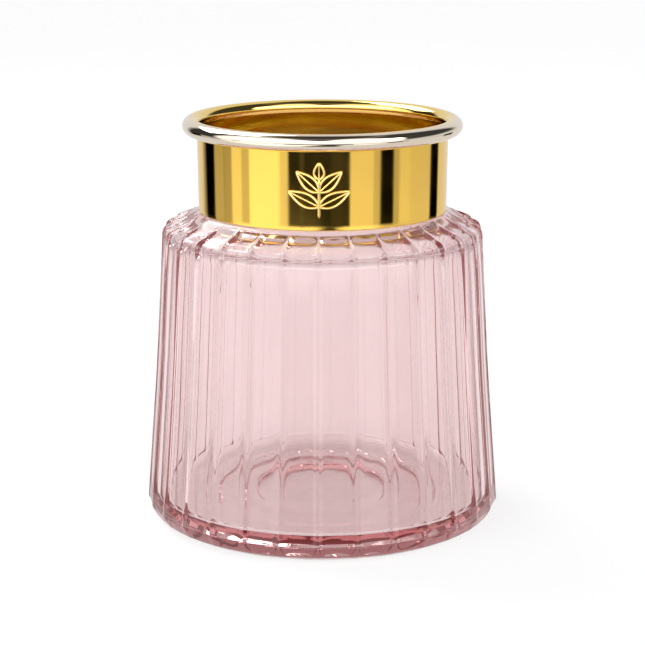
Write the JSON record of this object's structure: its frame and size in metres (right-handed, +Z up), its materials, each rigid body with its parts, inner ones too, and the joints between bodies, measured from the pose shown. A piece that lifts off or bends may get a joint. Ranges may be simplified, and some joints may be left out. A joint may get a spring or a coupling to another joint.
{
  "type": "fluted glass jar with metal collar",
  "caption": "Pink fluted glass jar with a thick base and a short neck, under a gold-plated lift-off collar with a rolled pale-gold rim and a raised leaf-sprig emblem.",
  "frame": {"origin": "middle of the foot, on the surface the jar stands on", "axes": "+Z up along the jar's axis; the emblem faces -Y"},
  "size_m": [0.1404, 0.1412, 0.16],
  "materials": {
    "pink_glass": "fire-polished, transparent, tinted pink",
    "gold_plate": "mirror-polished gold plate",
    "pale_gold_plate": "mirror-polished champagne plate",
    "bright_gold": "satin gold",
    "silicone": "matte translucent white"
  },
  "bodies": {
    "jar": {"glass_jar": "pink_glass"},
    "gasket_rings": {"upper_gasket": "silicone", "lower_gasket": "silicone"},
    "collar": {"collar_sleeve": "gold_plate", "rim_ring": "pale_gold_plate", "leaf_emblem": "bright_gold"}
  },
  "joints": [
    {"name": "collar_turn", "type": "hinge", "parent": "jar", "child": "gasket_rings", "pos_m": [0, 0, 0.1315], "axis": [0, 0, 1], "continuous": true},
    {"name": "collar_lift", "type": "slide", "parent": "gasket_rings", "child": "collar", "axis": [0, 0, 1], "range_m": [0, 0.04]}
  ]
}
